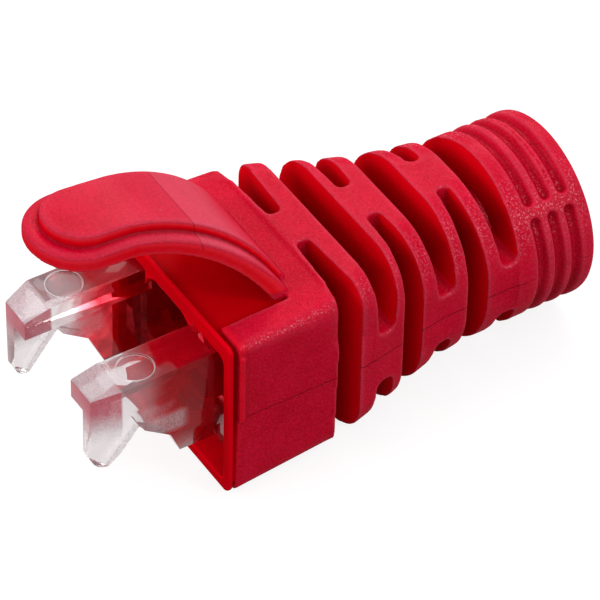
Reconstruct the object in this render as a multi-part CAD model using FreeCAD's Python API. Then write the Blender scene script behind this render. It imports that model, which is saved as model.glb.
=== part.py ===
import FreeCAD, Part
import math
import os
from FreeCAD import Vector

# Strain relief boot for an 8-way modular plug, in two pieces: the soft moulded boot
# (housing, snag guard flap, slotted bend relief, collar) and the clear latch frame
# that sits in the housing and reaches out with two hooked arms.
# While it is built, X is across, Y runs along the cable and Z is up, with Y = 0 at
# the housing's mouth and Z = 0 under its flat bottom.

# ---- housing ----
housing_width = 13.8
housing_height = 11.6
housing_rear_rise = 0.25
housing_length = 7.2
side_draft = 0.45
top_edge_radius = 0.45
top_edge_radius_rear = 0.85
bottom_edge_radius = 0.5
bottom_edge_radius_rear = 1.7
bottom_trim = 0.01

# ---- mouth rim, a thin sleeve end that stands out ahead of the housing ----
rim_reach = 0.58
rim_inset = 0.2
rim_corner_radius = 0.7
rim_groove_width = 0.28
rim_groove_depth = 0.3

# ---- plug socket ----
side_wall = 0.9
floor_wall = 0.9
roof_wall = 1.2
socket_depth = 6.1
socket_corner_radius = 0.5
gusset_radius = 1.4

# ---- lip beads on the housing's sides, just behind the rim ----
lip_radius = 0.27
lip_proud = 0.14
lip_setback = 0.1
lip_length = 5.0
lip_top_gap = 0.75

# ---- pocket in the roof, under the flap ----
pocket_margin = 2.1
pocket_recess = 0.5
pocket_depth = 5.0

# ---- snag guard flap ----
flap_root = 5.42
flap_sink = 0.15
flap_reach = 8.7
flap_rise = 7.44
flap_root_width = 9.8
flap_width = 6.0
flap_straight = 2.1
flap_tip_thickness = 1.02
flap_root_thickness = 0.98
flap_edge_radius = 0.42
pad_height = 0.85
pad_root_height = 0.37
pad_width = 4.4
pad_root_width = 7.0
pad_tip_ledge = 1.0
pad_edge_radius = 0.25

# ---- bend relief ----
relief_length = 13.3
bore_radius = 3.25
waist_width = 11.3
rib_rise = 0.35
taper_length = 9.0
low_corner_taper_length = 9.8
top_corner_growth = 0.8
rib_bottom_radius = 2.3
bridge_width = 2.75
side_slot_width = 1.5
side_slot_root = 0.85
side_slot_end_radius = 0.35
side_slot_lean = 0.33
side_slot_offset = 0.75
side_slot_pitch = 4.72
cross_slot_mouth = 1.75
cross_slot_root = 1.1
cross_slot_end_radius = 0.5
cross_slot_offset = 3.4
cross_slot_pitch = 4.55
side_bridge_height = 3.7
slot_count = 3

# ---- grip collar ----
collar_radius = 5.75
collar_length = 5.2
collar_end_radius = 0.55
collar_end_steps = 3
groove_offset = 1.45
groove_pitch = 1.17
groove_count = 3
groove_depth = 0.4
groove_mouth = 0.84
groove_floor = 0.36
groove_clear = 0.15
land_angle = 43.0
land_half_angle = 7.2

# ---- clear latch frame ----
frame_clearance = 0.06
frame_setback = 0.5
frame_height = 7.4
plate_thickness = 1.6
rail_thickness = 1.2
window_width = 6.3
window_sill = 1.95
window_head = 0.85
window_corner_radius = 0.7
arm_setback = 0.7
arm_width = 2.67
arm_web = 1.4
arm_flange = 1.7
arm_reach = 7.75
arm_crease = 6.1
arm_tip_drop = 0.4
arm_tip_inset = 0.52
hook_drop = 5.6
hook_heel = 6.85
hook_toe_radius = 0.75
hook_heel_radius = 0.3
notch_reach = 4.95
notch_drop = 3.2
lug_front = 4.6
lug_front_drop = 3.75
lug_knee = 2.95
lug_knee_drop = 4.95
lug_heel = 1.85
lug_bevel_drop = 5.15
lug_bevel_inset = 0.85
arm_small_radius = 0.15
mark_radius = 1.07
mark_setback = 4.42
mark_depth = 0.1

# ---- worked out from the sizes above ----
housing_half = housing_width / 2
socket_half = housing_half - side_wall
socket_roof = housing_height - roof_wall
pocket_half = housing_half - pocket_margin
pocket_floor = housing_height - pocket_recess
relief_end = housing_length + relief_length
boot_length = relief_end + collar_length
axis_height = collar_radius
frame_half = socket_half - frame_clearance
arm_top = socket_roof - frame_clearance
arm_outer = frame_half - arm_setback
arm_inner = arm_outer - arm_width
origin_y = (boot_length - flap_reach) / 2
far_out = 2 * housing_width


def outline(corners, place):
    """Closed run of edges round corners given as (u, v, radius), set in space by place."""
    edges = []
    ends = []
    for index, (u, v, radius) in enumerate(corners):
        before = corners[index - 1]
        after = corners[(index + 1) % len(corners)]
        here = Vector(u, v, 0)
        back = (Vector(before[0], before[1], 0) - here).normalize()
        ahead = (Vector(after[0], after[1], 0) - here).normalize()
        half_angle = back.getAngle(ahead) / 2
        reach = radius / math.tan(half_angle)
        start = here + back * reach
        end = here + ahead * reach
        if radius > 0:
            inward = (back + ahead).normalize()
            middle = here + inward * (radius / math.sin(half_angle) - radius)
            points = [place(point.x, point.y) for point in (start, middle, end)]
            ends.append((points[0], Part.Arc(*points).toShape(), points[2]))
        else:
            ends.append((place(u, v), None, place(u, v)))
    for index, (start, arc, end) in enumerate(ends):
        if arc is not None:
            edges.append(arc)
        edges.append(Part.makeLine(end, ends[(index + 1) % len(ends)][0]))
    return edges


def section(y, low_half, high_half, bottom, top, low_radius, high_radius):
    """Rounded four-sided wire in the plane at y, the same on both sides."""
    corners = [
        (low_half, bottom, low_radius),
        (high_half, top, high_radius),
        (-high_half, top, high_radius),
        (-low_half, bottom, low_radius),
    ]
    return Part.Wire(outline(corners, lambda u, v: Vector(u, y, v)))


def straight_tube(start, end, half_width, bottom, top, low_radius, high_radius):
    """Solid with one rounded section from start to end."""
    wires = []
    for y in (start, end):
        wires.append(section(y, half_width, half_width, bottom, top, low_radius, high_radius))
    return Part.makeLoft(wires, True, True)


def prism(edges, direction):
    """Solid pulled from a closed run of edges."""
    return Part.Face(Part.Wire(edges)).extrude(direction)


def side_prism(corners, x0, x1):
    """Solid between two X planes, from corners in the (y, z) plane."""
    return prism(outline(corners, lambda u, v: Vector(x0, u, v)), Vector(x1 - x0, 0, 0))


def block(x0, x1, y0, y1, z0, z1):
    """Box from its two corners."""
    return Part.makeBox(x1 - x0, y1 - y0, z1 - z0, Vector(x0, y0, z0))


def mirrored(shape):
    """The shape and its mirror image across the middle plane, as one."""
    return shape.fuse(shape.mirror(Vector(0, 0, 0), Vector(1, 0, 0)))


def housing_shell():
    """Outside of the housing, its mouth rim and the groove between them."""
    low_half = housing_half - side_draft
    rear_height = housing_height + housing_rear_rise
    rear_half = low_half + side_draft * rear_height / housing_height
    front = section(rim_reach, low_half, housing_half, -bottom_trim, housing_height,
                    bottom_edge_radius, top_edge_radius)
    rear = section(housing_length, low_half, rear_half, -bottom_trim, rear_height,
                   bottom_edge_radius_rear, top_edge_radius_rear)
    body = Part.makeLoft([front, rear], True, True)
    rim = straight_tube(0, rim_reach - rim_groove_width, housing_half - rim_inset,
                        rim_inset, housing_height - rim_inset / 2,
                        rim_corner_radius, top_edge_radius)
    inset = rim_inset + rim_groove_depth
    neck = straight_tube(rim_groove_width / 2, rim_reach + rim_groove_width,
                         housing_half - inset, inset, housing_height - inset,
                         rim_corner_radius, top_edge_radius)
    return body.fuse([rim, neck])


def lip_bead():
    """Half-round bead on one side, at the front edge and above the parting line."""
    top = housing_height - lip_top_gap
    centre = Vector(housing_half + lip_proud - lip_radius, rim_reach + lip_setback,
                    top - lip_length)
    bead = Part.makeCylinder(lip_radius, lip_length, centre)
    return bead.cut(block(0, far_out, -far_out, rim_reach, -far_out, far_out))


def ease(t):
    """Cosine ramp from 1 at t = 0 down to 0 at t = 1 and beyond."""
    return (1 + math.cos(math.pi * min(t, 1))) / 2


def relief_section(y):
    """The bend relief's outline at y, from the housing's rectangle towards the collar's circle."""
    along = y - housing_length
    waist_half = waist_width / 2
    half_width = waist_half + (housing_half - waist_half) * ease(along / taper_length)
    crown = 2 * collar_radius
    crown += (housing_height + rib_rise - crown) * ease(along / relief_length)
    round_radius = waist_half - bridge_width / 16
    growth = min(along / low_corner_taper_length, 1)
    low_radius = rib_bottom_radius + (round_radius - rib_bottom_radius) * growth
    growth = (along / relief_length) ** top_corner_growth
    high_radius = top_edge_radius_rear + (round_radius - top_edge_radius_rear) * growth
    high_radius = min(high_radius, low_radius)
    return section(y, half_width, half_width, -bottom_trim, crown, low_radius, high_radius)


def slot_centres(offset, pitch):
    """Positions along the cable of one kind of slot."""
    return [housing_length + offset + index * pitch for index in range(slot_count)]


def relief_body():
    """Solid bend relief before its slots are cut: straight-sided from slot to slot."""
    stations = slot_centres(side_slot_offset, side_slot_pitch)
    stations += slot_centres(cross_slot_offset, cross_slot_pitch)
    stations = [housing_length] + sorted(stations) + [relief_end]
    return Part.makeLoft([relief_section(y) for y in stations], True, True)


def collar():
    """Round grip collar with its rear edge rounded off in small steps."""
    start = relief_end - rim_groove_width
    heel = boot_length - collar_end_radius
    inner = collar_radius - collar_end_radius
    points = [Vector(0, start, 0), Vector(collar_radius, start, 0)]
    for step in range(collar_end_steps + 1):
        angle = math.pi / 2 * step / collar_end_steps
        points.append(Vector(inner + collar_end_radius * math.cos(angle),
                             heel + collar_end_radius * math.sin(angle), 0))
    points.append(Vector(0, boot_length, 0))
    face = Part.Face(Part.makePolygon(points + points[:1]))
    face.translate(Vector(0, 0, axis_height))
    return face.revolve(Vector(0, 0, axis_height), Vector(0, 1, 0))


def collar_grooves():
    """Ring grooves round the collar, stopped by a plain land on two opposite diagonals."""
    grooves = []
    sweep = 180 - 2 * land_half_angle
    floor_radius = collar_radius - groove_depth
    over = groove_depth + groove_clear
    spread = (groove_mouth - groove_floor) / 2 * over / groove_depth
    half_floor = groove_floor / 2
    half_over = half_floor + spread
    for index in range(groove_count):
        centre = Vector(0, relief_end + groove_offset + index * groove_pitch, axis_height)
        for side in (0, 180):
            start = land_angle + land_half_angle + side
            corners = [(floor_radius, -half_floor), (floor_radius, half_floor),
                       (floor_radius + over, half_over), (floor_radius + over, -half_over)]
            points = [centre + Vector(u, v, 0) for u, v in corners]
            face = Part.Face(Part.makePolygon(points + points[:1]))
            face.rotate(centre, Vector(0, 1, 0), -start)
            grooves.append(face.revolve(centre, Vector(0, 1, 0), -sweep))
            for turn in (start, start + sweep):
                angle = math.radians(turn)
                outward = Vector(math.cos(angle), 0, math.sin(angle))
                grooves.append(Part.makeCone(half_floor, half_over, over,
                                             centre + outward * floor_radius, outward))
    return grooves


def side_slot(centre):
    """One slot down each side, narrower at its root, with bridges above and below the cable."""
    inner = bridge_width / 2
    front_root = centre - side_slot_width / 2 + side_slot_lean
    rear_root = front_root + side_slot_root
    front_lean = side_slot_lean / (housing_half - inner)
    rear_lean = (centre + side_slot_width / 2 - rear_root) / (housing_half - inner)
    reach = far_out - inner
    corners = [
        (inner, front_root, side_slot_end_radius),
        (inner, rear_root, side_slot_end_radius),
        (far_out, rear_root + rear_lean * reach, 0),
        (far_out, front_root - front_lean * reach, 0),
    ]
    plan = outline(corners, lambda u, v: Vector(u, v, -far_out))
    return mirrored(prism(plan, Vector(0, 0, 2 * far_out)))


def cross_slot(centre):
    """One slot from above and one from below, with the bridges at the sides."""
    root = cross_slot_root / 2
    gap = side_bridge_height / 2
    lean = (cross_slot_mouth / 2 - root) / (axis_height - gap)
    mouth = root + lean * far_out
    cutters = []
    for up in (1, -1):
        corners = [
            (centre - root, axis_height + up * gap, cross_slot_end_radius),
            (centre + root, axis_height + up * gap, cross_slot_end_radius),
            (centre + mouth, axis_height + up * (gap + far_out), 0),
            (centre - mouth, axis_height + up * (gap + far_out), 0),
        ]
        cutters.append(side_prism(corners, -far_out, far_out))
    return cutters


def flap_curve():
    """Upper line of the flap's ledge, from its root over the roof to its tip."""
    foot = housing_height - flap_sink
    run = flap_root + flap_reach
    shares = ((0, 0), (0.171, 0.454), (0.384, 0.765), (0.625, 0.923), (0.837, 0.952), (1, 1))
    curve = Part.BSplineCurve()
    curve.interpolate([Vector(0, flap_root - run * along, foot + (flap_rise + flap_sink) * up)
                       for along, up in shares])
    return curve


def beside(curve, root_distance, tip_distance):
    """Curve beside another in the middle plane, at distances along its upper normal."""
    points = []
    steps = 6
    for step in range(steps + 1):
        share = step / steps
        value = curve.FirstParameter + (curve.LastParameter - curve.FirstParameter) * share
        tangent = curve.tangent(value)[0]
        distance = root_distance + (tip_distance - root_distance) * share
        points.append(curve.value(value) + Vector(0, tangent.z, -tangent.y) * distance)
    side = Part.BSplineCurve()
    side.interpolate(points)
    return side.toShape()


def flap_sheet(curve):
    """Sheet through a curve of the middle plane, wider than the flap."""
    line = curve.copy()
    line.translate(Vector(-flap_root_width, 0, 0))
    return line.extrude(Vector(2 * flap_root_width, 0, 0))


def flap_slab(lower, upper):
    """Curved slab between two curves of the middle plane, wider than the flap."""
    edges = [
        lower,
        Part.makeLine(lower.lastVertex().Point, upper.lastVertex().Point),
        upper,
        Part.makeLine(upper.firstVertex().Point, lower.firstVertex().Point),
    ]
    face = Part.Face(Part.Wire(Part.__sortEdges__(edges)))
    face.translate(Vector(-flap_root_width, 0, 0))
    return face.extrude(Vector(2 * flap_root_width, 0, 0))


def flap_plan(half_tip, half_root, reach):
    """Upright tongue-shaped column that trims the flap or its pad."""
    tip_centre = half_tip - reach
    shoulder = flap_width / 2 - flap_reach + flap_straight
    back = flap_root + flap_tip_thickness
    middle = (shoulder + back) / 2
    half_middle = half_tip + (half_root - half_tip) * (math.sqrt(2) - 1)
    right = Part.Arc(Vector(half_tip, shoulder, 0), Vector(half_middle, middle, 0),
                     Vector(half_root, back, 0))
    left = Part.Arc(Vector(-half_root, back, 0), Vector(-half_middle, middle, 0),
                    Vector(-half_tip, shoulder, 0))
    tip = Part.Arc(Vector(-half_tip, tip_centre, 0), Vector(0, -reach, 0),
                   Vector(half_tip, tip_centre, 0))
    edges = [
        tip.toShape(),
        Part.makeLine(Vector(half_tip, tip_centre, 0), Vector(half_tip, shoulder, 0)),
        right.toShape(),
        Part.makeLine(Vector(half_root, back, 0), Vector(-half_root, back, 0)),
        left.toShape(),
        Part.makeLine(Vector(-half_tip, shoulder, 0), Vector(-half_tip, tip_centre, 0)),
    ]
    return prism(edges, Vector(0, 0, 2 * far_out))


def soften(slab, radius, under):
    """Round a trimmed slab's upper edges, apart from those at its root."""
    chosen = []
    for edge in slab.Edges:
        box = edge.BoundBox
        upright = box.ZLength > box.XLength + box.YLength
        on_top = edge.distToShape(under)[0] > radius
        if on_top and not upright and box.YMin < flap_root - flap_tip_thickness:
            chosen.append(edge)
    return slab.makeFillet(radius, chosen)


def flap():
    """Snag guard: a curved ledge with a raised thumb pad on it."""
    top = flap_curve()
    under = beside(top, -flap_root_thickness, -flap_tip_thickness)
    core = beside(top, -flap_root_thickness / 2, -flap_tip_thickness / 2)
    ledge_plan = flap_plan(flap_width / 2, flap_root_width / 2, flap_reach)
    pad_plan = flap_plan(pad_width / 2, pad_root_width / 2, flap_reach - pad_tip_ledge)
    ledge = flap_slab(under, beside(top, 0, 0)).common(ledge_plan)
    pad = flap_slab(core, beside(top, pad_root_height, pad_height)).common(pad_plan)
    ledge = soften(ledge, flap_edge_radius, flap_sheet(under))
    pad = soften(pad, pad_edge_radius, flap_sheet(core))
    return ledge.fuse(pad)


def gusset():
    """Curved fill in one upper corner of the mouth, beside the arm."""
    edge = arm_inner - frame_clearance
    corner = block(edge - gusset_radius, edge, 0, frame_setback - frame_clearance,
                   socket_roof - gusset_radius, housing_height - roof_wall / 2)
    round_cut = Part.makeCylinder(gusset_radius, 2 * far_out,
                                  Vector(edge - gusset_radius, -far_out,
                                         socket_roof - gusset_radius), Vector(0, 1, 0))
    return corner.cut(round_cut)


def boot():
    """The soft one-piece moulding."""
    shape = housing_shell().fuse(relief_body())
    shape = shape.cut(block(-far_out, far_out, -far_out, far_out, -far_out, 0))
    shape = shape.fuse(collar())
    shape = shape.fuse(mirrored(lip_bead()))
    pocket = block(-pocket_half, pocket_half, rim_reach - rim_groove_width, pocket_depth,
                   pocket_floor, far_out)
    shape = shape.cut(pocket)
    shape = shape.fuse(flap())
    cutters = [straight_tube(-rim_reach, socket_depth, socket_half, floor_wall, socket_roof,
                             socket_corner_radius, socket_corner_radius)]
    cutters.append(Part.makeCylinder(bore_radius, far_out,
                                     Vector(0, socket_depth - rim_reach, axis_height),
                                     Vector(0, 1, 0)))
    cutters.extend(collar_grooves())
    for centre in slot_centres(side_slot_offset, side_slot_pitch):
        cutters.append(side_slot(centre))
    for centre in slot_centres(cross_slot_offset, cross_slot_pitch):
        cutters.extend(cross_slot(centre))
    shape = shape.cut(cutters)
    return shape.fuse(mirrored(gusset())).removeSplitter()


def arm():
    """One hooked arm with its top flange and outer web."""
    tip = -arm_reach
    hook_bottom = arm_top - hook_drop
    frame_bottom = arm_top - frame_height
    corners = [
        (frame_setback, arm_top, 0),
        (-arm_crease, arm_top, 0),
        (tip, arm_top - arm_tip_drop, arm_small_radius),
        (tip, hook_bottom, hook_toe_radius),
        (-hook_heel, hook_bottom, hook_heel_radius),
        (-notch_reach, arm_top - notch_drop, arm_small_radius / 2),
        (-lug_front, arm_top - lug_front_drop, arm_small_radius / 2),
        (-lug_knee, arm_top - lug_knee_drop, 0),
        (-lug_heel, frame_bottom, 0),
        (frame_setback, frame_bottom, 0),
    ]
    shape = side_prism(corners, arm_inner, arm_outer)
    under_flange = block(0, arm_outer - arm_web, -far_out, frame_setback,
                         -far_out, arm_top - arm_flange)
    tip_inset = arm_outer - arm_tip_inset
    tip_bevel = [
        (arm_outer, -arm_crease, 0),
        (tip_inset, tip, 0),
        (tip_inset, tip - arm_reach, 0),
        (far_out, tip - arm_reach, 0),
        (far_out, -arm_crease, 0),
    ]
    bevel_top = arm_top - lug_bevel_drop
    low_inset = arm_outer - lug_bevel_inset
    low_bevel = [
        (arm_outer, bevel_top, 0),
        (low_inset, frame_bottom, 0),
        (low_inset, -far_out, 0),
        (far_out, -far_out, 0),
        (far_out, bevel_top, 0),
    ]
    mark = Part.makeCylinder(mark_radius, mark_depth,
                             Vector((arm_outer + arm_inner) / 2, -mark_setback,
                                    arm_top - mark_depth))
    cutters = [
        under_flange,
        prism(outline(tip_bevel, lambda u, v: Vector(u, v, 0)), Vector(0, 0, far_out)),
        prism(outline(low_bevel, lambda u, v: Vector(u, frame_setback, v)),
              Vector(0, -lug_front - frame_setback, 0)),
        mark,
    ]
    return shape.cut(cutters)


def latch_frame():
    """Clear frame: a windowed plate and two rails in the socket, and two arms."""
    frame_bottom = arm_top - frame_height
    shape = straight_tube(frame_setback, socket_depth, frame_half, frame_bottom, arm_top,
                          socket_corner_radius, socket_corner_radius)
    window = straight_tube(0, far_out, window_width / 2, frame_bottom + window_sill,
                           arm_top - window_head, window_corner_radius, window_corner_radius)
    rail_inner = frame_half - rail_thickness
    jacket_room = block(-rail_inner, rail_inner, frame_setback + plate_thickness, far_out,
                        -far_out, far_out)
    shape = shape.cut([window, jacket_room])
    return shape.fuse(mirrored(arm())).removeSplitter()


def save(name, shape):
    """Move a finished piece to the model's origin and write it out."""
    placed = shape.copy()
    placed.translate(Vector(0, -origin_y, 0))
    placed.exportStep(os.path.join("parts", name + ".step"))
    print(name, "solids", len(placed.Solids), "valid", placed.isValid(),
          "volume", round(placed.Volume, 1), placed.BoundBox)


os.makedirs("parts", exist_ok=True)
save("boot", boot())
save("latch_frame", latch_frame())
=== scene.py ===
# %% [markdown]
# # A strain relief boot for a network plug
# The boot is a soft red moulding that slides over the end of a data cable. A clear
# plastic frame sits in its mouth and holds the plug with two hooked arms. We load both
# solids, which already have their true size, and give them the finish of the moulded
# parts. All lengths here are in metres unless a name says millimetres.

# %% Load the two solids
import bpy
import bmesh
import math
import numpy as np
from mathutils import Matrix, Vector
from mathutils.kdtree import KDTree


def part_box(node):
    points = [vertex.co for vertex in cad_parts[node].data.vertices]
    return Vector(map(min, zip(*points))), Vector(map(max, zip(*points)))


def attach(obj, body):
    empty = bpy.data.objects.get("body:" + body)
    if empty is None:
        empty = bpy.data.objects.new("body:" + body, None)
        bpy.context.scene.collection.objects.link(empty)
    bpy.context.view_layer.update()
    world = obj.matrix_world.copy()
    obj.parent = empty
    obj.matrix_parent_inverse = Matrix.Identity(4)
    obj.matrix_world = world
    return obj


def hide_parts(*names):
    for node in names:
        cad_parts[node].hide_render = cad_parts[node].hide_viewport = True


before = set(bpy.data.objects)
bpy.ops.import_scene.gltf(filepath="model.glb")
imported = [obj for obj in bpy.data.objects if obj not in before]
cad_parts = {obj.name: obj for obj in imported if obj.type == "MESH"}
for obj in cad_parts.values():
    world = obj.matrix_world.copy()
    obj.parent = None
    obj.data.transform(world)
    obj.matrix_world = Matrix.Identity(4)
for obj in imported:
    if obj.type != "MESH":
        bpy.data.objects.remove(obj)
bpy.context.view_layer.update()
print("solids:", sorted(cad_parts))

# %% [markdown]
# ## Placing things on the boot
# The two solids share one origin, in the middle of the boot's length. It is easier to
# think from the mouth of the housing, so one value says how far the mouth lies from the
# origin. The finishes below measure along the cable from there.

# %% Where the mouth of the housing is
MM = 0.001
boot_low, boot_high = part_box("boot")
LENGTH_BEHIND_MOUTH = 25.7 * MM
mouth_y = boot_high.y - LENGTH_BEHIND_MOUTH
print("mouth at y =", round(mouth_y / MM, 3), "mm")

# %% [markdown]
# ## The soft moulding
# Every outer edge of a moulded boot is rounded, because the mould is. A bevel on each
# edge fails where the slots run out over the curved ribs, so we wrap the whole solid in
# a fine even net of small squares and relax that net a few times. Flat walls stay where
# they are, and only the edges melt, as they do in soft plastic. Where the form is thin,
# at the mouth's rim, the net is relaxed less.

# %% Lay a net over a solid
NET = 0.085 * MM
MERGE_WITHIN = 0.0001 * MM


def merged_copy(node):
    """Mesh of a solid with its corners merged."""
    form = bmesh.new()
    form.from_mesh(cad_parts[node].data)
    bmesh.ops.remove_doubles(form, verts=form.verts, dist=MERGE_WITHIN)
    return form


def new_piece(name, mesh, node):
    """Put a mesh in the scene as a piece that stands for a solid."""
    mesh.materials.clear()
    piece = bpy.data.objects.new(name, mesh)
    bpy.context.scene.collection.objects.link(piece)
    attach(piece, "root")
    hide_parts(node)
    return piece


def settle(piece):
    """Turn a piece's modifiers into its mesh."""
    ready = piece.evaluated_get(bpy.context.evaluated_depsgraph_get())
    mesh = bpy.data.meshes.new_from_object(ready)
    mesh.name = piece.name
    piece.modifiers.clear()
    piece.data = mesh


form = merged_copy("boot")
boot_mesh = bpy.data.meshes.new("soft_boot")
form.to_mesh(boot_mesh)
form.free()
boot = new_piece("soft_boot", boot_mesh, "boot")
net = boot.modifiers.new("net", "REMESH")
net.mode = "VOXEL"
net.voxel_size = NET
settle(boot)
print("net of", len(boot.data.polygons), "squares")

# %% [markdown]
# ## Rounder edges on the ribs, sharper ones at the rim
# The soft ribs came out of their mould with round edges, and the rim, the flap and the
# ring grooves with sharper ones. Each of these gets its own number of rounds. The two
# top corners at the housing's rear are the roundest of all. To have no step around them,
# we relax smaller and smaller patches on top of each other.

# %% Relax the net
RIM_DEPTH = 0.95 * MM
FLAP_UNDERSIDE = 12.1 * MM
FLAP_LIMIT = 10.4 * MM
COLLAR_START = 20.8 * MM
ROUNDS = {"rim": 3, "flap": 2, "ribs": 7, "collar": 2}
HOUSING_END = 7.2 * MM
SHOULDER_LOW, SHOULDER_SIDE, SHOULDER_REACH = 8.2, 5.0, 1.7
SHOULDER_STEPS = 8
SHOULDER_ROUNDS = 9


def relax(form, corners, rounds):
    """Draw each corner towards its neighbours a few times."""
    for _ in range(rounds):
        bmesh.ops.smooth_vert(form, verts=corners, factor=0.5, use_axis_x=True,
                              use_axis_y=True, use_axis_z=True)


def shoulder_share(place):
    """Up to 1 at the housing's two rear top corners, where it is rounded most."""
    along = SHOULDER_REACH - abs(place.y - mouth_y - HOUSING_END) / MM
    return min(place.z / MM - SHOULDER_LOW, abs(place.x) / MM - SHOULDER_SIDE, along)


form = bmesh.new()
form.from_mesh(boot.data)
parts = {name: [] for name in ROUNDS}
for corner in form.verts:
    if corner.co.z > FLAP_UNDERSIDE and corner.co.y < mouth_y + FLAP_LIMIT:
        parts["flap"].append(corner)
    elif corner.co.y < mouth_y + RIM_DEPTH:
        parts["rim"].append(corner)
    elif corner.co.y > mouth_y + COLLAR_START:
        parts["collar"].append(corner)
    else:
        parts["ribs"].append(corner)
for name, rounds in ROUNDS.items():
    relax(form, parts[name], rounds)
for step in range(SHOULDER_STEPS):
    near = [corner for corner in parts["ribs"]
            if shoulder_share(corner.co) > step / SHOULDER_STEPS]
    relax(form, near, SHOULDER_ROUNDS)
form.to_mesh(boot.data)
form.free()
print("relaxed:", {name: len(corners) for name, corners in parts.items()})

# %% [markdown]
# ## Crests and hollows
# Rounded edges are painted paler, as a painted highlight where light grazes them, and
# the insides of corners are painted darker, as painted shade. A finish needs to know
# where they are. We average the net over its neighbours many times, on a copy, and keep
# how far each corner stood out of it.

# %% Find the crests and the hollows
CREST_REACH = 14
CREST_FULL = 0.035 * MM


def crest_heights(mesh, rounds):
    """How far each corner stands out of the net's local average, in metres."""
    count = len(mesh.vertices)
    ends = np.empty(2 * len(mesh.edges), dtype=np.int32)
    mesh.edges.foreach_get("vertices", ends)
    ends = ends.reshape(-1, 2)
    first, second = ends[:, 0], ends[:, 1]
    neighbours = np.bincount(ends.ravel(), minlength=count)
    start = np.empty(3 * count)
    mesh.vertices.foreach_get("co", start)
    start = start.reshape(-1, 3)
    normals = np.empty(3 * count)
    mesh.vertices.foreach_get("normal", normals)
    place = start.copy()
    for _ in range(rounds):
        for axis in range(3):
            sums = (np.bincount(first, place[second, axis], count)
                    + np.bincount(second, place[first, axis], count))
            place[:, axis] = 0.5 * place[:, axis] + 0.5 * sums / neighbours
    return start, ((start - place) * normals.reshape(-1, 3)).sum(axis=1)


net_places, heights = crest_heights(boot.data, CREST_REACH)
print("crests up to", round(heights.max() / MM, 3), "mm, hollows down to",
      round(heights.min() / MM, 3), "mm")

# %% [markdown]
# ## Fewer triangles
# The net is fine everywhere, but only the rounded edges need it. Decimate joins the
# small squares on flat walls. It forgets the heights, so each corner that is left takes
# the height of the nearest corner of the full net.

# %% Thin the net out where it is flat
MOST_TRIANGLES = 190000
thin = boot.modifiers.new("thin", "DECIMATE")
thin.ratio = MOST_TRIANGLES / (2 * len(boot.data.polygons))
settle(boot)
boot.data.shade_smooth()
tree = KDTree(len(net_places))
for index, place in enumerate(net_places):
    tree.insert(place, index)
tree.balance()
nearest = [tree.find(corner.co)[1] for corner in boot.data.vertices]
crest = boot.data.attributes.new("crest", "FLOAT", "POINT")
crest.data.foreach_set("value", np.clip(heights[nearest] / CREST_FULL, -1, 1))
boot_triangles = sum(len(face.vertices) - 2 for face in boot.data.polygons)
print("soft boot:", boot_triangles, "triangles")

# %% [markdown]
# ## The clear piece
# Clear plastic needs exact flat faces, or everything seen through it would wobble. So
# this piece keeps the solid's own faces: we clear away the lines that cross its flat
# faces, then give each outer edge a very small bevel, which catches the light. The
# bevels get a material of their own, painted paler as a painted highlight.

# %% Bevel the clear piece
CREASE = math.radians(28)
SAME_PLANE = math.radians(0.5)
EDGE = 0.07 * MM

form = merged_copy("latch_frame")
bmesh.ops.dissolve_limit(form, angle_limit=SAME_PLANE, use_dissolve_boundaries=False,
                         verts=form.verts, edges=form.edges)
outer = [edge for edge in form.edges if len(edge.link_faces) == 2
         and edge.is_convex and edge.calc_face_angle(0) > CREASE]
bmesh.ops.bevel(form, geom=outer, offset=EDGE, offset_type="OFFSET", affect="EDGES",
                segments=2, profile=0.5, clamp_overlap=True, material=1)
for face in form.faces:
    face.smooth = True
for edge in form.edges:
    edge.smooth = len(edge.link_faces) != 2 or edge.calc_face_angle(0) < CREASE
latch_mesh = bpy.data.meshes.new("clear_latch_frame")
form.to_mesh(latch_mesh)
form.free()
latch = new_piece("clear_latch_frame", latch_mesh, "latch_frame")
print("bevelled edges:", len(outer), "faces:", len(latch.data.polygons))

# %% [markdown]
# ## Writing a finish as a sum
# A material is a web of nodes. Drawing that web line by line hides the idea, so one
# small class lets us write a pattern as ordinary arithmetic: `1 - mask` adds the node
# that works it out. A second class adds every other node.

# %% Sockets that can be added and multiplied


class Value:
    """An output socket that takes part in Python sums."""

    def __init__(self, recipe, socket):
        self.recipe = recipe
        self.socket = socket

    def __add__(self, other):
        return self.recipe.maths("ADD", self, other)

    def __radd__(self, other):
        return self.recipe.maths("ADD", other, self)

    def __sub__(self, other):
        return self.recipe.maths("SUBTRACT", self, other)

    def __rsub__(self, other):
        return self.recipe.maths("SUBTRACT", other, self)

    def __mul__(self, other):
        return self.recipe.maths("MULTIPLY", self, other)

    def __rmul__(self, other):
        return self.recipe.maths("MULTIPLY", other, self)

    def __truediv__(self, other):
        return self.recipe.maths("DIVIDE", self, other)

    def __gt__(self, other):
        return self.recipe.maths("GREATER_THAN", self, other)

    def __lt__(self, other):
        return self.recipe.maths("LESS_THAN", self, other)

    def __abs__(self):
        return self.recipe.maths("ABSOLUTE", self)


# %% A recipe: one material and the nodes in it


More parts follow.
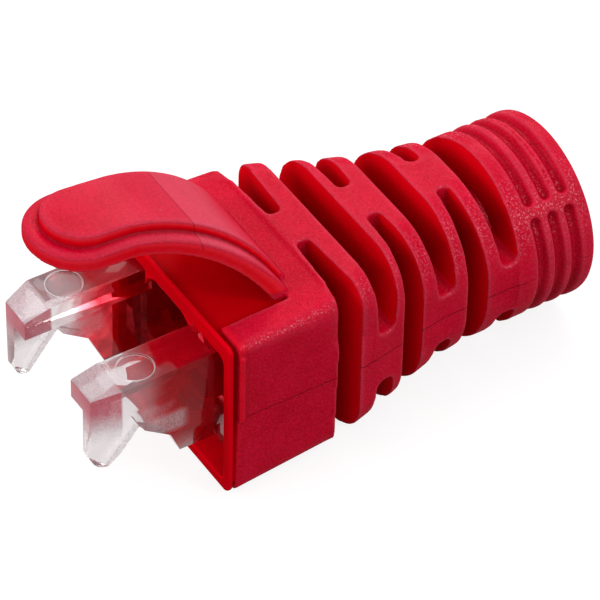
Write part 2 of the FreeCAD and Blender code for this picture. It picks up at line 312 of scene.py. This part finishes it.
class Recipe:
    """A material in the making."""

    def __init__(self, name, tree=None):
        self.material = None
        if tree is None:
            self.material = bpy.data.materials.new(name)
            self.material.use_nodes = True
            tree = self.material.node_tree
        self.tree = tree
        self.tree.nodes.clear()

    def make(self, kind, settings=None, inputs=None, output=0):
        """Add a node: its settings first, then what goes into its sockets."""
        node = self.tree.nodes.new(kind)
        for key, value in (settings or {}).items():
            setattr(node, key, value)
        for key, value in (inputs or {}).items():
            if isinstance(value, Value):
                self.tree.links.new(value.socket, node.inputs[key])
            else:
                node.inputs[key].default_value = value
        return Value(self, node.outputs[output]) if node.outputs else node

    def maths(self, operation, *values):
        """Add one Math node."""
        return self.make("ShaderNodeMath", {"operation": operation},
                         dict(enumerate(values)))

    def limit(self, value):
        """Hold a value between 0 and 1."""
        return self.make("ShaderNodeClamp", None, {"Value": value})

    def blend(self, share, first, second):
        """Mix two colours."""
        return self.make("ShaderNodeMix", {"data_type": "RGBA"},
                         {0: share, 6: first, 7: second}, output=2)

    def paint(self, tone, coats):
        """Lay coats of colour over a tone, each with its share."""
        for share, colour in coats:
            tone = self.blend(share, tone, colour)
        return tone

    def noise(self, spot, scale, detail=2.0, **more):
        """Soft random patches, so many to the millimetre, from about 0.3 to 0.7."""
        return self.make("ShaderNodeTexNoise", None,
                         {"Vector": spot, "Scale": scale, "Detail": detail, **more})

    def band(self, value, centre, half_width, softness):
        """1 where a value is near a centre, falling softly to 0 outside a width."""
        return self.limit((half_width + softness - abs(value - centre)) / softness)

    def places(self):
        """Each point in millimetres, from the mouth, and the surface's direction."""
        spot = self.make("ShaderNodeTexCoord", None, None, "Object")
        scaled = self.make("ShaderNodeVectorMath", {"operation": "SCALE"},
                           {0: spot, "Scale": 1 / MM})
        parts = [self.make("ShaderNodeSeparateXYZ", None, {0: scaled}, index)
                 for index in range(3)]
        facing = self.make("ShaderNodeTexCoord", None, None, "Normal")
        turns = [self.make("ShaderNodeSeparateXYZ", None, {0: facing}, index)
                 for index in range(3)]
        parts[1] = parts[1] - mouth_y / MM
        return scaled, parts, turns

    def finish(self, shader):
        """Join the shader to the output."""
        self.make("ShaderNodeOutputMaterial", None, {"Surface": shader})
        return self.material


print("operators ready:", [name for name in dir(Value) if name.startswith("__r")][:6])

# %% [markdown]
# ## The red moulding
# The boot is a soft plastic, dyed right through. Its mould was spark-eroded outside,
# which leaves a fine even grain, and polished inside and in the slots. Along the rounded
# edges the grain glitters, partly from a coat and partly from glints painted into the
# colour as painted highlights. An image wrapped round such a form would show seams. A
# pattern worked out from each point's own place has none, so we first say which surface
# a
# point is on. Places are in millimetres: across, along from the mouth, and up.

# %% The surfaces of the red moulding
CAVITY_HALF_WIDTH, CAVITY_FLOOR, CAVITY_TOP, CAVITY_END = 6.03, 0.87, 10.43, 6.2
POCKET_HALF_WIDTH, POCKET_FLOOR, POCKET_TOP, POCKET_END = 4.9, 10.9, 11.5, 5.35
RIM_END, LIP_END, HOUSING_TOP = 0.57, 1.1, 11.9
FLAP_BASE, FLAP_ROOT = 12.0, 5.4
SLOTS_START, SLOTS_END = 6.7, 21.2


def boot_surfaces(r, place, facing):
    """Shares from 0 to 1: how far a point belongs to each kind of surface."""
    (x, y, z), (_, ny, nz) = place, facing
    on = {"inside": ((abs(x) < CAVITY_HALF_WIDTH) * (z < CAVITY_TOP)
                     * (z > CAVITY_FLOOR) * (y < CAVITY_END)),
          "pocket": ((abs(x) < POCKET_HALF_WIDTH) * (z < POCKET_TOP)
                     * (z > POCKET_FLOOR) * (y < POCKET_END)),
          "rim": (y < RIM_END) * (z < HOUSING_TOP),
          "lip": (y < LIP_END) * (z < HOUSING_TOP),
          "slot_wall": (r.limit((abs(ny) - 0.75) * 6)
                        * (y > SLOTS_START) * (y < SLOTS_END)),
          "flap": (z > FLAP_BASE) * (y < FLAP_ROOT)}
    on["flap_side"] = on["flap"] * (nz < 0.4)
    on["polished"] = r.limit(on["inside"] + on["pocket"] + on["rim"] + on["slot_wall"]
                             + on["flap_side"])
    on["grained"] = 1 - on["polished"]
    return on


print("cavity", 2 * CAVITY_HALF_WIDTH, "mm wide, slots from", SLOTS_START, "to",
      SLOTS_END, "mm")

# %% [markdown]
# ## Marks of the mould and of use
# Where the two halves of the mould met there is a thin line along each side, and the
# flap has one across, where it starts to bend. The grain is a fine noise. Its glitter is
# painted highlights on the peaks of a still finer one, and a few specks of dust lie
# about.

# %% Lines, glitter and dust
FINE_GRAIN, PATCHES, GLITTER = 6.0, 0.55, 8.0
PARTING_HEIGHT, BEND_LINE = 5.92, 0.18
LINE_HALF_WIDTH, LINE_BLUR = 0.015, 0.05
FAINT_LINE_FROM = 20.8
DUST_CELLS, DUST_PATCHES, DUST_SIZE = 1.1, 1.4, 0.07


def mould_lines(r, place, facing, on):
    """1 on the parting line of each side and on the line across the flap."""
    (_, y, z), (nx, _, nz) = place, facing
    side = r.band(z, PARTING_HEIGHT, LINE_HALF_WIDTH, LINE_BLUR) * (abs(nx) > 0.45)
    side = side * (1 - on["inside"]) * (y > 0.6) * (1 - (y > FAINT_LINE_FROM) * 0.6)
    across = r.band(y, BEND_LINE, LINE_HALF_WIDTH, LINE_BLUR) * on["flap"] * (nz > 0.1)
    return r.limit(side + across * 0.7)


def dust_specks(r, spot, on):
    """1 in a few small specks on the grained faces."""
    cell = r.make("ShaderNodeTexVoronoi", None, {"Vector": spot, "Scale": DUST_CELLS})
    return (cell < DUST_SIZE) * (r.noise(spot, DUST_PATCHES) > 0.66) * on["grained"]


print("grain", FINE_GRAIN, "and glitter", GLITTER, "to the millimetre")

# %% [markdown]
# ## The red itself
# The colour is laid on as a maker would coat it: one red that wavers with the grain, and
# over it thin coats, each with its own share. Several coats are painted light: a painted
# sheen turns the flap's top pink, walls that light reaches are painted a brighter, purer
# red, the polished walls partly take the purer red of light bounced between red walls,
# hollows and deep slots get painted shade and crests get painted highlights.

# %% Red finish
RED = (0.70, 0.004, 0.034, 1)
DEEP_RED = (0.52, 0.0006, 0.016, 1)
POLISHED_BOUNCE_RED = (0.62, 0.0003, 0.005, 1)
LIT_RED = (0.90, 0.0008, 0.012, 1)
SHADE_AND_LINE_RED = (0.20, 0.0, 0.002, 1)
HIGHLIGHT_PINK = (0.90, 0.24, 0.36, 1)
SHEEN_PINK = (0.85, 0.16, 0.24, 1)
PALE_DUST = (0.80, 0.30, 0.34, 1)
FLAP_TIP, FLAP_LENGTH = -7.0, 7.2
SLOT_DEEP, SLOT_DEPTH, RELIEF_START, RELIEF_TAPER = 3.8, 2.4, 7.0, 0.07
LIT_DEPTH, LIT_FADE = 2.4, 2.0
GRAIN_HEIGHT = 0.10 * MM


def red_moulding():
    """Dyed soft plastic with an eroded grain outside and polished walls inside, and
    painted highlights, sheen and shade in its colour.
    """
    r = Recipe("red_moulding")
    spot, place, facing = r.places()
    (x, y, z), (nx, _, nz) = place, facing
    on = boot_surfaces(r, place, facing)
    crest = r.make("ShaderNodeAttribute", {"attribute_name": "crest"}, None, "Fac")
    fine = r.noise(spot, FINE_GRAIN, Roughness=0.6)
    glitter = r.noise(spot, GLITTER, 1.0)
    lines = mould_lines(r, place, facing, on)
    dust = dust_specks(r, spot, on)

    # painted sheen: the flap's upward faces are painted pinker towards the root and
    # behind the bend line
    flap_sheen = r.limit((y - FLAP_TIP) / FLAP_LENGTH) * 0.17 + (y > BEND_LINE) * 0.18
    flap_sheen = flap_sheen * on["flap"] * r.limit(nz * 4 - 2)
    from_axis = r.maths("MAXIMUM", abs(x), abs(z - PARTING_HEIGHT))
    outward = from_axis + (y - RELIEF_START) * RELIEF_TAPER
    shallow = r.limit((outward - SLOT_DEEP) / SLOT_DEPTH)
    # painted light: slot walls near the outside, the flap's sides and the cavity near
    # the mouth are painted a brighter red
    near_mouth = on["inside"] * r.limit((LIT_DEPTH - y) / LIT_FADE)
    lit = on["slot_wall"] * shallow * 0.6 + on["flap_side"] * 0.6 + near_mouth * 0.5
    # painted highlight: glints from the glitter noise, stronger on edges that face up
    # and sideways
    shoulder = r.limit((abs(nx) * 0.7 + nz * 0.7 - 0.85) * 8)
    spark = r.limit((glitter - 0.56) * 12) * on["grained"] * (1 - on["flap"])
    # painted highlight: the crests of rounded edges are painted paler, and on the lip a
    # brighter red
    crest_highlight = r.limit(crest) * r.limit(on["grained"] + on["flap_side"])

    wavering = r.noise(spot, PATCHES) + (fine - 0.5) * 2.0
    tone = r.paint(r.blend(r.limit(wavering), RED, DEEP_RED), (
        (flap_sheen, SHEEN_PINK),
        # partly the polished walls' own colour and partly painted light bounced between
        # red walls
        (on["polished"], POLISHED_BOUNCE_RED),
        (r.limit(lit), LIT_RED),
        # painted shade: deep in the slots and in the hollows of corners; the mould lines
        # below use the same dark red
        (on["slot_wall"] * (1 - shallow) * 0.5, SHADE_AND_LINE_RED),
        (r.limit(0 - crest) * 0.55, SHADE_AND_LINE_RED),
        (spark * (0.03 + shoulder * 0.18), HIGHLIGHT_PINK),
        (crest_highlight * (0.11 - on["lip"] * 0.08), HIGHLIGHT_PINK),
        (r.limit(crest) * on["lip"] * 0.5, LIT_RED),
        (lines * 0.4, SHADE_AND_LINE_RED),
        (dust * 0.45, PALE_DUST)))
    height = fine * (0.12 + 0.88 * on["grained"]) - lines * 0.6 + dust * 0.4
    bumped = r.make("ShaderNodeBump", None,
                    {"Strength": 1.0, "Distance": GRAIN_HEIGHT, "Height": height})
    coat = 0.015 + on["grained"] * 0.05 + spark * shoulder * 0.4
    shader = r.make("ShaderNodeBsdfPrincipled", None,
                    {"Base Color": tone, "Roughness": 0.40, "Specular IOR Level": 0.0,
                     "Coat Weight": coat, "Coat Roughness": 0.30, "Normal": bumped})
    return r.finish(shader)


boot.data.materials.append(red_moulding())
print("red finish on", boot.name)

# %% [markdown]
# ## The clear latch frame
# This piece is clear polycarbonate. Most of it is polished, but the tips of the arms and
# their lower lugs are lightly frosted, which is where a hand or a plug rubs them, and
# round marks show where pins pushed it out of its mould. We find these places first.

# %% The worn places of the clear piece
TIP_START, TIP_BLUR = -5.95, 0.15
TIP_FROST_FROM, TIP_FROST_FADE = 6.6, 1.2
LUG_ALONG, LUG_UP = (-3.1, 0.9, 0.6), (6.4, 0.5, 0.5)
FOOT_ALONG, FOOT_UP, FOOT_SIDE = (0.5, 0.2, 0.1), (4.4, 0.8, 0.2), 4.9
MARK_ACROSS, MARK_ALONG, ARM_TOP = 3.935, -4.42, 10.2
MARK_RING = (1.07, 0.02, 0.04)


def clear_surfaces(r, place, facing):
    """Shares from 0 to 1: how far a point is on a tip, a lug, a foot or a round mark."""
    (x, y, z), (nx, ny, nz) = place, facing
    on = {"tip": r.limit((TIP_START - y) / TIP_BLUR),
          "lug": r.band(y, *LUG_ALONG) * r.band(z, *LUG_UP) * (abs(nx) > 0.7),
          "foot": (abs(x) > FOOT_SIDE) * r.band(y, *FOOT_ALONG) * r.band(z, *FOOT_UP)}
    on["frosted_tip"] = (on["tip"] * r.limit((z - TIP_FROST_FROM) / TIP_FROST_FADE)
                         * (1 - (abs(ny) > 0.85)))
    across, along = abs(x) - MARK_ACROSS, y - MARK_ALONG
    from_mark = r.maths("SQRT", across * across + along * along)
    on["mark"] = r.band(from_mark, *MARK_RING) * (z > ARM_TOP) * (nz > 0.5)
    return on


print("round marks", 2 * MARK_RING[0], "mm wide at", MARK_ALONG, "mm")

# %% [markdown]
# ## Clear, frosted, with painted red reflections
# Near the mouth the piece is painted red, a painted reflection of the red boot seen in
# and through it, and its undersides and low faces there are painted a darker red,
# painted shade on that reflection. One shader can't be both see-through and milky. We
# make a glassy one
# and a cloudy one and mix them: where the piece is frosted or painted deep red, the
# cloudy one has more share.

# %% Clear finish
CLEAR = (0.96, 0.94, 0.945, 1)
REFLECTED_RED_TINT = (0.82, 0.04, 0.06, 1)
FROSTED = (0.70, 0.58, 0.61, 1)
ROSE = (0.60, 0.13, 0.17, 1)
REFLECTED_RED = (0.80, 0.001, 0.02, 1)
SHADED_REFLECTED_RED = (0.42, 0.0008, 0.008, 1)
PALE_MARK_AND_HIGHLIGHT = (0.86, 0.80, 0.82, 1)
FROST_GRAIN, SWIRLS = 7.0, 0.6
REFLECTION_FROM, REFLECTION_SWING, REFLECTION_FADE = -3.2, 2.4, 1.6
FROST_HEIGHT = 0.05 * MM


def clear_plastic(name, edge_share):
    """Polycarbonate, polished, with frosted tips and lugs, and painted red reflections,
    shade and edge highlights.
    """
    r = Recipe(name)
    spot, place, facing = r.places()
    (_, y, z), (nx, ny, nz) = place, facing
    on = clear_surfaces(r, place, facing)
    grain = r.noise(spot, FROST_GRAIN, 3.0, Roughness=0.6)
    swirl = r.noise(spot, SWIRLS, 1.0, Distortion=1.2)
    worn = r.limit(on["lug"] + on["foot"])
    frost = r.limit(on["frosted_tip"] + on["lug"] + on["foot"])
    frost = frost * r.limit(grain * 1.8 - 0.1)
    milky = r.limit((REFLECTION_FROM - y) / 1.2)
    rose = on["tip"] * r.limit((z - 7.3) / 1.6) * (nz < 0.5)
    # painted reflection: the tips' front faces are painted red, the boot seen through
    # them
    front = on["tip"] * (ny < -0.85) * r.limit((z - 6.9) / 1.0)

    # painted reflection: near the mouth the piece is painted the red of the boot, with a
    # wavy edge, most on its top faces
    boot_reflection = r.limit((y - REFLECTION_FROM + swirl * REFLECTION_SWING) / REFLECTION_FADE)
    glow = boot_reflection * (nz > 0.7) * (z > 8.0)
    # painted shade: low faces and undersides near the mouth are painted dark red, with
    # streaks of painted reflection on the sides
    low = r.limit((5.6 - z) / 0.4) * r.limit((y + 3.6) / 0.6) * (1 - on["foot"])
    underside_shade = r.limit((nz < -0.25) * r.limit((y + 4.6) / 0.8) + low)
    side_reflection_and_shade = r.limit(boot_reflection * (abs(nx) > 0.7) + underside_shade) * (1 - worn)
    reflection_streaks = r.limit((swirl - 0.38) * 4)

    cloud = (0.01 + milky * 0.22 + frost * 0.5 + rose * 0.25 + front * 0.45
             + glow * 0.30 + side_reflection_and_shade * (0.12 + reflection_streaks * 0.36)
             + on["foot"] * 0.3 + on["mark"] * 0.4 + edge_share)
    # painted highlight: bevelled edges are painted pale, less where the sides are
    # painted dark; the pin marks' rings get the same pale colour
    edge_highlight_share = edge_share * 2 * (1 - side_reflection_and_shade * 0.8)
    tone = r.paint(r.blend(rose, FROSTED, ROSE), (
        (boot_reflection * (1 - worn), REFLECTED_RED),
        (side_reflection_and_shade, SHADED_REFLECTED_RED),
        (r.limit(on["mark"] + edge_highlight_share), PALE_MARK_AND_HIGHLIGHT)))
    # the see-through part takes the painted red reflection as its tint
    body = r.blend(r.limit(boot_reflection + front * 0.6 + underside_shade), CLEAR, REFLECTED_RED_TINT)
    bumped = r.make("ShaderNodeBump", None,
                    {"Strength": 0.5, "Distance": FROST_HEIGHT, "Height": grain * frost})
    glassy = r.make("ShaderNodeBsdfPrincipled", None,
                    {"Base Color": body, "Roughness": 0.02, "IOR": 1.2,
                     "Transmission Weight": 1.0, "Coat Weight": (1 - boot_reflection) * 0.12,
                     "Coat Roughness": 0.03})
    cloudy = r.make("ShaderNodeBsdfPrincipled", None,
                    {"Base Color": tone, "Roughness": 0.35, "Specular IOR Level": 0.15,
                     "Normal": bumped})
    shader = r.make("ShaderNodeMixShader", None,
                    {0: r.limit(cloud), 1: glassy, 2: cloudy})
    return r.finish(shader)


EDGE_HIGHLIGHT = 0.3
latch.data.materials.append(clear_plastic("clear_plastic", 0.0))
latch.data.materials.append(clear_plastic("clear_edges", EDGE_HIGHLIGHT))
print("clear finish on", latch.name)

# %% [markdown]
# ## Floor and light
# The boot stands on a plain white floor in an even white room, which lights it softly
# from all around. Four weak lamps above, behind, in front and beside it give its shapes
# a light side and a dark side. The floor and the room look pure white to the camera and
# in reflections, while the boot itself is lit at a plain level.

# %% White for the camera, plain light for the boot
FLOOR_SIZE = 3.0
FLOOR_GAP = 0.02 * MM
FLOOR_GREY = 0.25
FLOOR_GLOW = 0.83
ROOM_LIGHT = 0.64


def seen_share(r):
    """1 for what the camera sees, straight, mirrored or through something clear."""
    rays = [r.make("ShaderNodeLightPath", None, None, kind + " Ray")
            for kind in ("Is Camera", "Is Glossy", "Is Transmission")]
    return r.limit(rays[0] + rays[1] + rays[2])


def white_floor():
    """Matt, with added white wherever the camera sees it."""
    r = Recipe("white_floor")
    matt = r.make("ShaderNodeBsdfDiffuse", None,
                  {"Color": (FLOOR_GREY, FLOOR_GREY, FLOOR_GREY, 1)})
    glow = r.make("ShaderNodeEmission", None, {"Strength": seen_share(r) * FLOOR_GLOW})
    return r.finish(r.make("ShaderNodeAddShader", None, {0: matt, 1: glow}))


def white_room():
    """World that looks white, and lights the boot at a plain level."""
    world = bpy.data.worlds.new("studio")
    world.use_nodes = True
    bpy.context.scene.world = world
    r = Recipe("studio", world.node_tree)
    strength = ROOM_LIGHT + seen_share(r) * (1 - ROOM_LIGHT)
    sky = r.make("ShaderNodeBackground", None,
                 {"Color": (1, 1, 1, 1), "Strength": strength})
    r.make("ShaderNodeOutputWorld", None, {"Surface": sky})


floor_form = bmesh.new()
bmesh.ops.create_grid(floor_form, x_segments=2, y_segments=2, size=FLOOR_SIZE)
floor_mesh = bpy.data.meshes.new("floor")
floor_form.to_mesh(floor_mesh)
floor_form.free()
floor = bpy.data.objects.new("floor", floor_mesh)
bpy.context.scene.collection.objects.link(floor)
floor_mesh.transform(Matrix.Translation((0, 0, boot_low.z - FLOOR_GAP)))
floor_mesh.materials.append(white_floor())
white_room()
print("floor half width", FLOOR_SIZE, "m, room light", ROOM_LIGHT)

# %% Soft lamps
LAMP_AIM = Vector((0, 0, 0.008))
LAMPS = {"key_lamp": ((-0.20, 0.10, 0.60), 0.35, 0.6),
         "back_lamp": ((-0.42, 0.30, 0.36), 0.25, 1.3),
         "front_lamp": ((-0.10, -0.50, 0.32), 0.20, 1.1),
         "edge_lamp": ((0.45, 0.26, 0.38), 0.16, 0.9)}


def soft_lamp(name, place, size, watts):
    """Square lamp at a place, pointing at the boot."""
    light = bpy.data.lights.new(name, "AREA")
    light.shape = "SQUARE"
    light.size = size
    light.energy = watts
    lamp = bpy.data.objects.new(name, light)
    lamp.location = place
    lamp.rotation_euler = (LAMP_AIM - Vector(place)).to_track_quat("-Z", "Y").to_euler()
    bpy.context.scene.collection.objects.link(lamp)


for name, (place, size, watts) in LAMPS.items():
    soft_lamp(name, place, size, watts)
print("lamps:", list(LAMPS))

# %% [markdown]
# ## Camera
# The boot is seen from its mouth's right-hand side and from above, with a long lens, so
# its lines run almost parallel. The camera turns a touch about its own axis.

# %% Camera with a long lens
CAMERA_PLACE = Vector((0.156115, -0.101125, 0.181672))
CAMERA_AIM = Vector((-0.000140, 0.000453, 0.005583))
CAMERA_ROLL = math.radians(1.2646)
LENS_MM = 267.34

camera_data = bpy.data.cameras.new("camera")
camera_data.lens = LENS_MM
camera_data.sensor_width = 36.0
camera_data.clip_start = 0.01
camera = bpy.data.objects.new("camera", camera_data)
look = (CAMERA_AIM - CAMERA_PLACE).to_track_quat("-Z", "Y").to_matrix().to_4x4()
camera.matrix_world = (Matrix.Translation(CAMERA_PLACE) @ look
                       @ Matrix.Rotation(CAMERA_ROLL, 4, "Z"))
bpy.context.scene.collection.objects.link(camera)
bpy.context.scene.camera = camera
bpy.context.scene.view_settings.view_transform = "Standard"
print("camera distance", round((CAMERA_AIM - CAMERA_PLACE).length, 4), "m")
